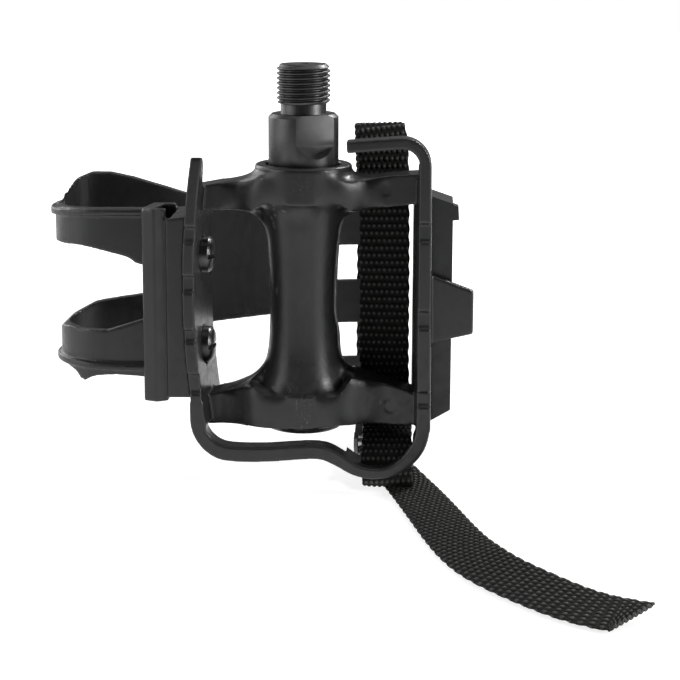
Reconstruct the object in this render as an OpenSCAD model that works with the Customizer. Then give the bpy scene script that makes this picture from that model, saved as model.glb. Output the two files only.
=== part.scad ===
// Right-hand bicycle pedal with a toe clip and a strap.
// Z is the spindle's axis and points to the crank. X points to the rear of the
// pedal and Y to the rider's foot. The origin is on the axis, where the thread starts.

/* [Spindle] */
// Outside diameter of the crank thread
thread_d = 14.05; // [12.6:0.05:14.3]
// Length of the crank thread
thread_l = 10.1; // [8:0.1:16]
// Diameter of the relief neck below the thread
neck_d = 12; // [10:0.1:12.5]
// Length of the relief neck
neck_l = 2.7; // [1:0.1:4]
// Diameter of the collar that seats on the crank
collar_d = 18.4; // [17.5:0.1:19]
// Length of the collar
collar_l = 14.9; // [13.5:0.1:17]
// Chamfer on the collar's shoulder
collar_chamfer = 0.9; // [0.3:0.1:1.5]
// Distance across the two wrench flats
flat_across = 15; // [14:0.1:16]
// Length of the wrench flats
flat_l = 7.8; // [6:0.1:9]
// Length of the sloped run-out below each flat
flat_runout = 3.4; // [2:0.1:4]
// Turn of the wrench flats about the axis
flat_turn = 27; // [0:1:90]
// Diameter of the spindle's middle stretch
stem_d = 10.4; // [9:0.1:11]
// Diameter of the outboard threaded end
tail_d = 8; // [7:0.1:9]

/* [Bearings] */
// Diameter of the bearing balls
ball_d = 3.175; // [2.8:0.005:3.3]
// Number of balls in the inboard bearing
inboard_balls_n = 13; // [10:1:13]
// Number of balls in the outboard bearing
outboard_balls_n = 11; // [8:1:11]
// Radius of the inboard ball circle
inboard_ball_r = 7.4; // [7.3:0.05:7.5]
// Radius of the outboard ball circle
outboard_ball_r = 6.5; // [6.4:0.05:6.6]
// Running clearance round the balls
ball_gap = 0.04; // [0.02:0.01:0.06]
// Length of each bearing cup
cup_l = 6; // [5:0.1:7]
// Outside diameter of the outboard bearing cup
outboard_cup_d = 18; // [17.4:0.1:18.4]
// Radial clearance of the pieces that sit in the body's bore
seat_gap = 0.02; // [0.01:0.01:0.05]
// Thickness of the inboard seal ring
seal_t = 1; // [0.6:0.1:1.4]
// Thickness of the tab washer
washer_t = 1.2; // [0.8:0.1:1.6]
// Distance across the flats of the spindle's lock nut
lock_nut_af = 12; // [11:0.1:13]
// Thickness of the spindle's lock nut
lock_nut_t = 3.6; // [2.5:0.1:4]
// Thickness of the dust cap's rim
cap_t = 1; // [0.8:0.1:1.4]
// Height of the dust cap's dome
cap_dome = 1.2; // [0.4:0.1:1.5]

/* [Barrel] */
// How much of the collar stands out of the barrel
collar_show = 13.1; // [12:0.1:14]
// Length of the barrel
barrel_l = 70.9; // [69:0.1:73]
// Outside diameter of the inboard collar of the barrel
barrel_in_d = 25.6; // [24.6:0.1:27]
// Length of the inboard collar of the barrel
barrel_in_l = 9.6; // [8:0.1:11]
// Outside diameter of the outboard collar of the barrel
barrel_out_d = 22.6; // [22:0.1:24]
// Length of the outboard collar of the barrel
barrel_out_l = 10.6; // [9:0.1:12]
// Outside diameter of the barrel's waist
waist_d = 18; // [16:0.1:19]
// Bore of the barrel round the spindle
barrel_bore = 12.8; // [11.4:0.1:13.2]
// Bore at the inboard end
mouth_d = 20; // [19.4:0.1:20.6]

/* [Cage] */
// Depth of the cage, from the underside to the foot side
cage_depth = 25; // [22:0.5:28]
// Distance from the axis to the outside of the front plate
front_x = 30.8; // [29:0.1:33]
// Distance from the axis to the outside of the rear plate
rear_x = 33.8; // [32:0.1:36]
// Thickness of the front plate along its underside edge
plate_t = 3; // [2.4:0.1:3.6]
// Thickness of the rear plate along its underside edge
rear_t = 3.3; // [2.6:0.1:3.8]
// How much further out the rear plate's lower end stands than its top
rear_lean = 0.6; // [0:0.1:1]
// How much thicker the plates are along their foot side edge
plate_draft = 1.8; // [0.5:0.1:2.2]
// Radius of the front plate's bow
front_bow_r = 234; // [180:1:400]
// Height of the middle of the front plate's bow
bow_z = -48; // [-52:0.5:-44]
// Top of the front plate
front_top_z = -12.9; // [-16:0.1:-12]
// Lowest level of the two plates, where the outboard strip takes over
plate_low_z = -84.5; // [-86:0.1:-84]
// Depth of the grip notches
notch_depth = 0.8; // [0.4:0.1:1.4]
// Half depth of the arms at the plates
arm_half_depth = 4.4; // [3.8:0.1:5]
// Thickness of the strip of the hook and of the outboard end
strip_t = 3.7; // [3.2:0.1:4.2]
// Depth of the strip of the hook and of the outboard end
strip_depth = 6; // [5:0.1:8]
// Outer radius of the hook's corner
hook_r = 7.4; // [5:0.1:8]
// Length of the strap hook's bar
hook_l = 14.3; // [13:0.1:17]
// Top of the strap hook
hook_top_z = -7.6; // [-9:0.1:-7]
// Slope of the strap hook, in degrees
hook_slope = 4.5; // [0:0.1:6]
// Diameter of the ejector pin marks
mark_d = 3.7; // [3:0.1:5]
// Thickness of the flip tab
tab_t = 2.2; // [1.6:0.1:3]
// Reach of the flip tab beyond the rear plate
tab_reach = 11; // [8:0.1:13]

/* [Toe clip] */
// Thickness of the toe clip's bands and top plate
clip_t = 2.6; // [2:0.1:3.2]
// Thickness of the inner wall of the clip's base
base_inner_t = 3.5; // [3:0.1:4.2]
// Gap of the channel in the clip's base
base_gap = 4.2; // [3.4:0.1:4.6]
// Thickness of the outer wall of the clip's base
base_outer_t = 3.1; // [2.6:0.1:4]
// Top of the clip's base
base_top_z = -26.6; // [-28:0.1:-25]
// Bottom of the clip's base
base_low_z = -78.4; // [-81:0.1:-77]
// Depth of the clip's base
base_depth = 22; // [20:0.5:24]
// Height of the ribs on the bands
rib_h = 1.2; // [0.6:0.1:1.6]
// Top of the clip's top plate
clip_top_z = -36; // [-37:0.1:-34]
// Bottom of the clip's top plate
clip_low_z = -65.5; // [-69:0.1:-64.5]
// Bottom of the clip's wide end
end_low_z = -88; // [-90:0.1:-86]
// Rear edge of the clip's wide end
end_x = 26; // [24:0.1:26.4]
// Middle of the clip's two slots
slot_mid_z = -62.6; // [-64:0.1:-61]
// Width of the tongue between the slots
tongue_w = 12.6; // [10:0.1:14]
// Width of each slot
slot_w = 10.4; // [8:0.1:11]
// Length of each slot
slot_l = 20; // [14:0.1:22]
// Free height of the bridge that holds the strap
bridge_gap = 2.6; // [2:0.1:3.4]
// Thickness of the bridge
bridge_t = 1.8; // [1.2:0.1:2.4]

/* [Screws] */
// Thread diameter of the clip's two screws
screw_d = 5; // [4:0.1:5.5]
// Head diameter of the clip's screws
head_d = 9.6; // [8:0.1:10]
// Head height of the clip's screws
head_h = 3; // [2:0.1:3.4]
// Distance between the clip's screws
screw_gap = 24.4; // [22:0.1:27]
// Height of the middle between the clip's screws
screw_mid_z = -52.6; // [-55:0.1:-50]
// Outside diameter of the washers
pad_d = 10; // [9:0.1:11]
// Thickness of the washers
pad_t = 0.8; // [0.5:0.1:1]
// Distance across the flats of the clip's nuts
nut_af = 8; // [7.5:0.1:8.5]
// Thickness of the clip's nuts
nut_t = 2.7; // [2.2:0.1:2.7]

/* [Reflector] */
// Thickness of the reflector housing behind the rear plate
housing_t = 5.4; // [4.5:0.1:7]
// Top of the reflector housing at the rear plate
housing_top_z = -23.3; // [-24:0.1:-20]
// Bottom of the reflector housing at the rear plate
housing_low_z = -83.1; // [-86:0.1:-82]
// How much shorter the housing's upper end is at its face
housing_top_taper = 1.9; // [1:0.1:4]
// How much shorter the housing's lower end is at its face
housing_taper = 3; // [1:0.1:4]
// Depth of the reflector housing, from the underside to the foot side
housing_depth = 13; // [11:0.5:19]
// Wall of the reflector housing
housing_wall = 1.4; // [1:0.1:2]
// Thickness of the reflector lens
lens_t = 2; // [1.5:0.1:2.5]

/* [Strap] */
// Width of the strap
strap_w = 12.7; // [11:0.1:13]
// Thickness of the strap
strap_t = 1.6; // [1.2:0.1:1.7]
// Thickness of the buckle's sheet
buckle_sheet = 1; // [0.8:0.1:1.2]
// Diameter of the buckle's pins
buckle_pin_d = 2; // [1.6:0.1:2.4]
// Length of the buckle's lever
lever_l = 15; // [12:0.1:17]

/* [Hidden] */
$fn = 72;
eps = 0.01;
black = "#2b2c2d";

half_depth = cage_depth / 2;
shoulder_z = -neck_l;
collar_low_z = shoulder_z - collar_l;
barrel_top_z = shoulder_z - collar_show;
barrel_end_z = barrel_top_z - barrel_l;
lay_z = barrel_end_z - 16.2;
cap_top_z = barrel_end_z + 1.2;
ball_r = ball_d / 2;
race_r = ball_r + ball_gap;

// The rear plate's outside at a level
function rear_face(z) = rear_x + rear_lean * ((hook_top_z + plate_low_z) / 2 - z) / (hook_top_z - plate_low_z);

seal_top_z = collar_low_z - 0.3;
inboard_cup_z = seal_top_z - seal_t;
inboard_ball_z = inboard_cup_z - 2.7;
inboard_seat_z = inboard_cup_z - cup_l;
outboard_seat_z = barrel_end_z + 13.2;
outboard_cup_z = outboard_seat_z - cup_l;
outboard_ball_z = outboard_cup_z + 2.9;
cone_end_z = outboard_ball_z - 3.2;
washer_end_z = cone_end_z - washer_t;
nut_end_z = washer_end_z - lock_nut_t;

// Points of a round arc
function arc(cx, cy, r, a0, a1, n = 10) =
  [for (i = [0:n]) [cx + r * cos(a0 + (a1 - a0) * i / n), cy + r * sin(a0 + (a1 - a0) * i / n)]];

// One point of a smooth curve between p1 and p2
function blend_point(p0, p1, p2, p3, t) =
  0.5 * (2 * p1 + (p2 - p0) * t + (2 * p0 - 5 * p1 + 4 * p2 - p3) * t * t
    + (3 * p1 - p0 - 3 * p2 + p3) * t * t * t);

// A smooth curve through points
function smooth(p, n = 5) = let (last = len(p) - 1) [
  for (i = [0:last - 1]) for (j = [0:n - 1])
    blend_point(p[max(i - 1, 0)], p[i], p[i + 1], p[min(i + 2, last)], j / n),
  p[last]
];

function unit(v) = v / norm(v);
function along(p, i) = unit(p[min(i + 1, len(p) - 1)] - p[max(i - 1, 0)]);

// The curve moved sideways, to its left for a positive distance
function beside(p, d) = [for (i = [0:len(p) - 1]) let (a = along(p, i)) p[i] + d * [-a[1], a[0]]];

function reversed(p) = [for (i = [len(p) - 1:-1:0]) p[i]];

// The outline of a strip that follows a curve
function ribbon(p, d0, d1) = concat(beside(p, d1), reversed(beside(p, d0)));

// Extrusion along Y of an outline drawn in X and Z
module front_view(points, y0, y1) {
  translate([0, y1, 0]) rotate([90, 0, 0]) linear_extrude(y1 - y0) polygon(points);
}

// Extrusion along Z of an outline drawn in X and Y
module plan_view(points, z0, z1) {
  translate([0, 0, z0]) linear_extrude(z1 - z0) polygon(points);
}

// Extrusion along X of an outline drawn in Y and Z
module side_view(points, x0, x1) {
  translate([x0, 0, 0]) rotate([90, 0, 90]) linear_extrude(x1 - x0) polygon(points);
}

module ring_groove(r, z, d) {
  translate([0, 0, z]) rotate_extrude() translate([r, 0]) circle(d / 2, $fn = 40);
}

module x_cylinder(d, x0, x1, y, z) {
  translate([x0, y, z]) rotate([0, 90, 0]) cylinder(d = d, h = x1 - x0);
}

module ball_ring(n, r, z) {
  for (i = [0:n - 1]) rotate(360 * (i + 0.5) / n) translate([r, 0, z]) sphere(ball_r, $fn = 24);
}

// Spindle
module wrench_flat() {
  flat_low_z = shoulder_z - flat_l;
  side_view([[-flat_across / 2, 0], [-flat_across / 2, flat_low_z],
    [-collar_d, flat_low_z - flat_runout * (collar_d - flat_across / 2) / ((collar_d - flat_across) / 2)],
    [-collar_d, 0]], -collar_d, collar_d);
}

module spindle() {
  thread_chamfer = 1;
  color("#55585a") difference() {
    rotate_extrude() polygon([
      [0, thread_l], [thread_d / 2 - thread_chamfer, thread_l], [thread_d / 2, thread_l - thread_chamfer],
      [thread_d / 2, 0], [neck_d / 2, 0], [neck_d / 2, shoulder_z],
      [collar_d / 2 - collar_chamfer, shoulder_z], [collar_d / 2, shoulder_z - collar_chamfer],
      [collar_d / 2, collar_low_z], [inboard_ball_r - 0.5, collar_low_z],
      [inboard_ball_r - 0.5, inboard_ball_z], [inboard_ball_r - ball_r - 0.3, inboard_ball_z - 0.4],
      [stem_d / 2, inboard_seat_z], [stem_d / 2, outboard_seat_z + 6],
      [tail_d / 2, outboard_seat_z + 2], [tail_d / 2, nut_end_z + 0.1], [tail_d / 2 - 0.5, nut_end_z - 0.4],
      [0, nut_end_z - 0.4]
    ]);
    for (side = [0, 180]) rotate(flat_turn + side) wrench_flat();
    ring_groove(inboard_ball_r, inboard_ball_z, 2 * race_r);
    translate([0, 0, thread_l - 2]) cylinder(r1 = 0.4, r2 = 1.6, h = 2 + eps);
  }
}

module bearing_cone() {
  nose_r = outboard_ball_r - ball_r - 0.3;
  color("#9a9c9e") difference() {
    rotate_extrude() polygon([
      [tail_d / 2, outboard_ball_z + 2.4], [nose_r - 0.4, outboard_ball_z + 2.4],
      [nose_r, outboard_ball_z + 0.4], [outboard_ball_r - 0.4, outboard_ball_z - 0.2],
      [outboard_ball_r - 0.4, cone_end_z], [tail_d / 2, cone_end_z]
    ]);
    ring_groove(outboard_ball_r, outboard_ball_z, 2 * race_r);
  }
}

module tab_washer() {
  color("#8d8f91") translate([0, 0, washer_end_z]) difference() {
    cylinder(r = outboard_ball_r, h = washer_t);
    translate([0, 0, -eps]) cylinder(d = tail_d, h = washer_t + 2 * eps);
  }
}

module lock_nut() {
  color("#8d8f91") translate([0, 0, nut_end_z]) difference() {
    cylinder(d = lock_nut_af / cos(30), h = lock_nut_t, $fn = 6);
    translate([0, 0, -eps]) cylinder(d = tail_d, h = lock_nut_t + 2 * eps);
  }
}

// Bearings in the body
module inboard_cup() {
  color("#b5b7b9") difference() {
    translate([0, 0, inboard_seat_z]) cylinder(d = mouth_d - 2 * seat_gap, h = cup_l);
    translate([0, 0, inboard_ball_z]) cylinder(r = inboard_ball_r + ball_r - 0.5, h = cup_l);
    translate([0, 0, inboard_seat_z - eps]) cylinder(r = inboard_ball_r - 0.7, h = cup_l);
    ring_groove(inboard_ball_r, inboard_ball_z, 2 * race_r);
  }
}

module outboard_cup() {
  color("#b5b7b9") difference() {
    translate([0, 0, outboard_cup_z]) cylinder(d = outboard_cup_d - 2 * seat_gap, h = cup_l);
    translate([0, 0, outboard_cup_z - eps]) cylinder(r = outboard_ball_r + ball_r - 0.5, h = 2.9);
    translate([0, 0, outboard_cup_z]) cylinder(r = outboard_ball_r - 0.7, h = cup_l + eps);
    ring_groove(outboard_ball_r, outboard_ball_z, 2 * race_r);
  }
}

module inboard_balls() { color("silver") ball_ring(inboard_balls_n, inboard_ball_r, inboard_ball_z); }

module outboard_balls() { color("silver") ball_ring(outboard_balls_n, outboard_ball_r, outboard_ball_z); }

module inboard_seal() {
  color("#1c1c1c") translate([0, 0, inboard_cup_z]) difference() {
    cylinder(d = mouth_d - 2 * seat_gap, h = seal_t);
    translate([0, 0, -eps]) cylinder(r = inboard_ball_r - 0.3, h = seal_t + 2 * eps);
  }
}

module dust_cap() {
  r = outboard_cup_d / 2 - seat_gap;
  color(black) rotate_extrude() polygon(concat(
    [[0, cap_top_z], [r, cap_top_z], [r, cap_top_z - cap_t]],
    [for (i = [1:8]) [r * (1 - i / 8), cap_top_z - cap_t - cap_dome * sin(90 * i / 8)]]
  ));
}

// Body
waist_r = waist_d / 2;
barrel_in_r = barrel_in_d / 2;
barrel_out_r = barrel_out_d / 2;
barrel_in_low_z = barrel_top_z - barrel_in_l;
barrel_out_top_z = barrel_end_z + barrel_out_l;

module barrel_form() {
  waist_line = smooth([
    [barrel_in_r - 0.4, barrel_in_low_z], [barrel_in_r - 2.4, barrel_in_low_z - 3],
    [waist_r + 0.9, barrel_in_low_z - 8], [waist_r + 0.2, barrel_in_low_z - 16],
    [waist_r - 0.2, barrel_in_low_z - 28], [waist_r + 0.1, barrel_out_top_z + 13],
    [waist_r + 1, barrel_out_top_z + 6], [barrel_out_r - 0.3, barrel_out_top_z]
  ], 4);
  rotate_extrude() polygon(concat(
    [[0, barrel_top_z], [barrel_in_r - 0.8, barrel_top_z], [barrel_in_r - 0.2, barrel_top_z - 0.25],
      [barrel_in_r, barrel_top_z - 0.8], [barrel_in_r, barrel_in_low_z]],
    waist_line,
    [[barrel_out_r, barrel_out_top_z], [barrel_out_r, barrel_end_z + 2.4]],
    [[barrel_out_r - 0.4, barrel_end_z + 1.2], [barrel_out_r - 1.2, barrel_end_z + 0.3],
      [barrel_out_r - 1.9, barrel_end_z], [0, barrel_end_z]]
  ));
}

// Where the arms meet the two plates, inside their walls
front_in = front_x - 1.6;
rear_in = rear_x - 1.6;

// Outlines of the arms from the underside
upper_arms = [
  [-front_in, barrel_top_z - 6.2], [-barrel_in_r - 1.5, barrel_top_z - 3.5], [-barrel_in_r + 1, barrel_top_z - 2.4],
  [barrel_in_r - 3, barrel_top_z - 2.6], [barrel_in_r - 1, barrel_top_z - 3.4], [rear_in, barrel_top_z - 1.9],
  [rear_in, barrel_top_z - 9.7], [18, barrel_top_z - 11.4], [13, barrel_top_z - 12.2], [9.6, barrel_in_low_z],
  [-9.6, barrel_in_low_z], [-13, barrel_top_z - 12.2], [-front_in, barrel_top_z - 12.2]
];

lower_arms = [
  [-front_in, barrel_end_z + 7.6], [-21, barrel_end_z + 10.2], [-13, barrel_end_z + 12.8], [-9, barrel_out_top_z],
  [9.6, barrel_out_top_z], [13.2, barrel_end_z + 15.6], [rear_in, barrel_end_z + 9.6],
  [rear_in, barrel_end_z + 1.4], [barrel_out_r - 0.6, barrel_end_z + 2.1], [-barrel_out_r + 0.6, barrel_end_z + 1.5],
  [-front_in, barrel_end_z + 0.8]
];

// The windows' round corners, from the barrel's waist to each arm
corner_upper_left = concat([[-waist_r + 2, barrel_in_low_z + 1], [-18, barrel_top_z - 11.6]],
  arc(-18, barrel_top_z - 21.2, 9, 90, 8, 8), [[-waist_r - 0.2, barrel_top_z - 25], [-waist_r + 2, barrel_top_z - 27]]);
corner_upper_right = concat([[waist_r - 2, barrel_in_low_z + 1], [17, barrel_top_z - 11.6]],
  arc(15.6, barrel_top_z - 18.2, 6.2, 80, 180, 8), [[waist_r, barrel_top_z - 23], [waist_r - 2, barrel_top_z - 25]]);
corner_lower_left = concat([[-waist_r + 2, barrel_end_z + 9], [-21, barrel_end_z + 9.6]],
  arc(-22, barrel_end_z + 24.4, 13.6, -65, -8, 8), [[-waist_r + 2, barrel_end_z + 30]]);
corner_lower_right = concat([[waist_r - 2, barrel_end_z + 9], [20, barrel_end_z + 12]],
  arc(18.2, barrel_end_z + 22.4, 8.6, -112, -184, 8),
  [[waist_r + 0.6, barrel_end_z + 28], [waist_r - 2, barrel_end_z + 30]]);

corner_half_depth = arm_half_depth - 1.2;

// Half of the arms' outline in plan, from the front plate to the rear one
arm_flare = smooth([
  [-front_in, arm_half_depth], [-22, arm_half_depth + 0.2], [-17, arm_half_depth + 1.5], [-12.5, arm_half_depth + 4.6],
  [-8, arm_half_depth + 6.3], [0, arm_half_depth + 7], [8, arm_half_depth + 6.3], [12.5, arm_half_depth + 4.6],
  [17, arm_half_depth + 1.5], [22, arm_half_depth + 0.2], [rear_in, arm_half_depth]
], 3);

module arms() {
  intersection() {
    union() {
      front_view(upper_arms, -half_depth, half_depth);
      front_view(lower_arms, -half_depth, half_depth);
    }
    plan_view(concat(arm_flare, [for (p = reversed(arm_flare)) [p[0], -p[1]]]), barrel_end_z, barrel_top_z);
  }
  for (corner = [corner_upper_left, corner_upper_right, corner_lower_left, corner_lower_right])
    front_view(corner, -corner_half_depth, corner_half_depth);
}

// Edges of a plate seen from the side, with its grip notches on the underside
function plate_edge(top_z, recess) = [
  [-half_depth, plate_low_z], [half_depth - 1, plate_low_z], [half_depth, plate_low_z + 1],
  [half_depth, top_z - 13], [-half_depth + strip_depth, top_z - 8], [-half_depth + recess, top_z - 2.4],
  [-half_depth + 0.5, top_z], [-half_depth, top_z - 0.5]
];

front_notches = [[-31.1, -35.3], [-44, -48.5], [-58.4, -61.8], [-70.2, -75.5]];
rear_notches = [[-29.6, -34.5], [-52.6, -57.1], [-74.1, -78.7]];

module notch_cuts(notches, x0, x1) {
  for (n = notches) translate([x0, -half_depth - 1, n[1]]) cube([x1 - x0, 1 + notch_depth, n[0] - n[1]]);
}

module front_plate() {
  centre_x = front_bow_r - front_x;
  difference() {
    intersection() {
      translate([centre_x, half_depth, bow_z]) rotate([90, 0, 0]) cylinder(r = front_bow_r, h = cage_depth, $fn = 360);
      side_view(plate_edge(front_top_z, 4), -front_x - 1, -front_x + 9);
    }
    translate([centre_x, half_depth + eps, bow_z]) rotate([90, 0, 0])
      cylinder(r1 = front_bow_r - plate_t - plate_draft, r2 = front_bow_r - plate_t,
        h = cage_depth + 2 * eps, $fn = 360);
    notch_cuts(front_notches, -front_x - 1, -front_x + 9);
  }
}

module rear_plate() {
  top_face_x = rear_face(hook_top_z);
  low_face_x = rear_face(plate_low_z);
  difference() {
    intersection() {
      front_view([[low_face_x, plate_low_z], [top_face_x, hook_top_z], [top_face_x - 9, hook_top_z],
        [low_face_x - 9, plate_low_z]], -half_depth, half_depth);
      plan_view([[rear_x + rear_lean, -half_depth], [rear_x + rear_lean, half_depth],
        [rear_x - rear_t - plate_draft, half_depth], [rear_x - rear_t, -half_depth]], plate_low_z, hook_top_z);
      side_view([[-half_depth, plate_low_z], [half_depth - 1, plate_low_z], [half_depth, plate_low_z + 1],
        [half_depth, -26], [-half_depth + strip_depth, -19], [-half_depth + strip_depth, hook_top_z - hook_r],
        [-half_depth, hook_top_z - hook_r]], rear_x - 9, rear_x + rear_lean);
    }
    notch_cuts(rear_notches, rear_x - 9, rear_x + rear_lean);
  }
}

// Centreline of the strap hook at the inboard end
hook_path = let (r = hook_r - plate_t / 2, cx = rear_face(hook_top_z) - hook_r, cz = hook_top_z - hook_r) concat(
  [[cx + r, cz - 6]],
  arc(cx, cz, r, 0, 90 + hook_slope, 12),
  [[cx - hook_l * cos(hook_slope), cz + r - hook_l * sin(hook_slope)]]
);

// Centreline of the outboard strip, from the front plate to the rear one
wave_path = let (z = barrel_end_z, x = rear_face(plate_low_z) - strip_t / 2) smooth([
  [-29 + strip_t / 2 - 0.2, z + 8.7], [-29 + strip_t / 2, z + 2.5], [-25.2, z - 1.7], [-21.5, z - 4.5], [-16.5, z - 5.2],
  [-9, z - 5.1], [-3, z - 4.6], [2.4, z - 4.2], [6.4, z - 4.5], [10.2, z - 6.3], [14.4, z - 8.8], [19, z - 9.8],
  [24, z - 9], [28, z - 6.3], [31, z - 2.3], [x, z + 2.7], [x, z + 8.7]
], 4);

// Thickness of the outboard strip along its way
wave_half = [for (p = wave_path) strip_t / 2 +
  lookup(p[0], [[-26, 0], [-21, 0.15], [-4, 0.1], [8, 0], [15, -0.35], [22, -0.45], [31, -0.1]])];
wave_outline = let (n = len(wave_path) - 1, side = beside(wave_path, 1) - wave_path) concat(
  [for (i = [0:n]) wave_path[i] + side[i] * wave_half[i]],
  [for (i = [n:-1:0]) wave_path[i] - side[i] * wave_half[i]]
);

// The strap's slot in the outboard lobe
slot_y0 = -half_depth + 3.2;
slot_y1 = slot_y0 + 4.2;
strap_x = 22.6;

module outboard_strip() {
  back_y = slot_y1 + 3;
  front_view(wave_outline, -half_depth, -half_depth + strip_depth);
  intersection() {
    front_view(wave_outline, -half_depth + strip_depth - eps, back_y);
    translate([strap_x - strap_w / 2 - 4.5, -half_depth, lay_z]) cube([30, cage_depth, plate_low_z - lay_z]);
  }
}

module flip_tab() {
  front_view([[rear_x - 1, -43], [rear_x + 1.6, -44.1], [rear_x + tab_reach, -47.6], [rear_x + tab_reach, -59],
    [rear_x + 1.6, -61.2], [rear_x - 1, -62.2]], -half_depth + 3, -half_depth + 3 + tab_t);
}

// Shallow round marks on the arms' underside, at x, z and the depth of their floor
module ejector_marks() {
  for (p = [[-17.4, -24.5, 1.2], [21.3, -22, 0.1], [23.3, -80.1, 0], [-17.2, -82, 1.2]])
    translate([p[0], -arm_half_depth - p[2], p[1]]) rotate([90, 0, 0]) cylinder(d = mark_d, h = 10, $fn = 32);
}

seat_x = -front_x + plate_t + 0.4;
screw_zs = [screw_mid_z + screw_gap / 2, screw_mid_z - screw_gap / 2];

module body() {
  color(black) difference() {
    union() {
      barrel_form();
      arms();
      front_plate();
      rear_plate();
      front_view(ribbon(hook_path, -plate_t / 2, plate_t / 2), -half_depth, -half_depth + strip_depth);
      outboard_strip();
      flip_tab();
    }
    ejector_marks();
    translate([0, 0, inboard_seat_z]) cylinder(d = mouth_d, h = 20);
    translate([0, 0, barrel_end_z - 1]) cylinder(d = barrel_bore, h = barrel_l);
    translate([0, 0, barrel_end_z - 1]) cylinder(d = outboard_cup_d, h = outboard_seat_z - barrel_end_z + 1);
    for (z = screw_zs) {
      x_cylinder(screw_d + 0.3, -front_x - 2, -front_x + 9, 0, z);
      x_cylinder(pad_d + 0.6, seat_x, seat_x + 6, 0, z);
    }
    side_view([[slot_y0, lay_z], [slot_y1, lay_z], [slot_y1, barrel_end_z - 8.4], [slot_y1 + 5, barrel_end_z - 4.6],
      [slot_y1 + 5, barrel_end_z - 1.3], [slot_y0, barrel_end_z - 1.3]],
      strap_x - strap_w / 2 - 0.5, strap_x + strap_w / 2 + 0.5);
  }
}

// Toe clip
base_in_x = -front_x;
base_gap_x1 = base_in_x - base_inner_t;
base_gap_x0 = base_gap_x1 - base_gap;
base_out_x = base_gap_x0 - base_outer_t;

// The base is a box round a pocket for the nuts, open at its inboard end
module clip_base() {
  y0 = -base_depth / 2;
  y1 = base_depth / 2;
  ridge_x = base_gap_x0 + 0.4;
  joint_x = base_gap_x1 - 0.9;
  inner_top_z = base_top_z - 2.9;
  difference() {
    plan_view([[base_out_x, y0 + 1.4], [ridge_x, y0], [joint_x, y0 + 1.5], [joint_x, y0 + 0.5],
      [base_in_x + 2, y0 + 0.5], [base_in_x + 2, y1], [base_out_x, y1]], base_low_z, base_top_z);
    translate([front_bow_r - front_x, half_depth, bow_z]) rotate([90, 0, 0])
      cylinder(r = front_bow_r, h = cage_depth, $fn = 360);
    translate([base_gap_x0, y0 + 2.2, base_low_z + 3]) cube([base_gap, y1 - 5.2 - y0, base_top_z - base_low_z]);
    side_view([[y0 - 1, base_top_z + 1], [y1 + 1, base_top_z + 1], [y1 + 1, base_top_z - 1.8], [y0 - 1, base_top_z]],
      base_out_x - 1, base_in_x + 3);
    front_view([[base_out_x - 1, base_top_z + 1], [ridge_x, base_top_z + 1], [ridge_x, base_top_z],
      [base_out_x - 1, base_top_z - 1]], -half_depth, half_depth);
    front_view([[joint_x, base_top_z + 1], [base_in_x + 3, base_top_z + 1], [base_in_x + 3, inner_top_z + 1],
      [joint_x, inner_top_z]], -half_depth, half_depth);
    front_view([[joint_x, base_low_z - 1], [base_in_x + 3, base_low_z - 1], [base_in_x + 3, base_low_z + 1.4],
      [joint_x, base_low_z + 1.2]], -half_depth, half_depth);
    for (z = screw_zs) x_cylinder(screw_d + 0.3, base_gap_x1 - eps, base_in_x + 3, 0, z);
  }
}

// Plans of the two bands, round the toe and back to the clip's wide end
function band_path(toe) = smooth(concat([[base_out_x + 1.4, -3], [-50, -3.2]], toe,
  [[-44, 33], [-30, 37.2], [-12, 42.4], [2, 46.6], [12, 48.8], [end_x, 49.6]]), 5);

upper_path = band_path([[-58, -1.6], [-63.9, 3], [-66.9, 10], [-66.3, 18], [-62.6, 24.8], [-54.8, 29.5]]);
lower_path = band_path([[-57.4, -1.6], [-63.1, 3], [-66, 10], [-65.1, 18], [-60.6, 24.5], [-53.6, 29.2]]);

near_end_y = 11;
nose_x = -71;
root_x = -30;

// Outlines of the two bands where they leave the base
upper_near = smooth([[root_x, -42.8], [-42.4, -42.8], [-46.1, -40.9], [-50.9, -39.6], [-58.9, -38.1], [-66.8, -38.5],
  [nose_x, -38.8]], 3);
upper_near_top = smooth([[nose_x, -29.6], [-68.4, -29.2], [-64, -28.3], [-58, -27.9], [-52.3, -27.7],
  [-42.4, -27.6], [root_x, -28.2]], 3);
lower_near = [
  [root_x, -73.4], [-41.9, -73.2], [-50, -72.7], [-54.9, -73.2], [-57, -73.9], [-58.8, -75], [-60.2, -74.5],
  [-61.4, -72.9], [-63.4, -72.1], [-66.6, -71.4], [nose_x, -71.2], [nose_x, -63.6], [-67.4, -62.6],
  [-66, -61.4], [-63.2, -60.7], [-59.4, -60.9],
  [-52.1, -60.6], [-42.1, -57.4], [root_x, -56]
];

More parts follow.
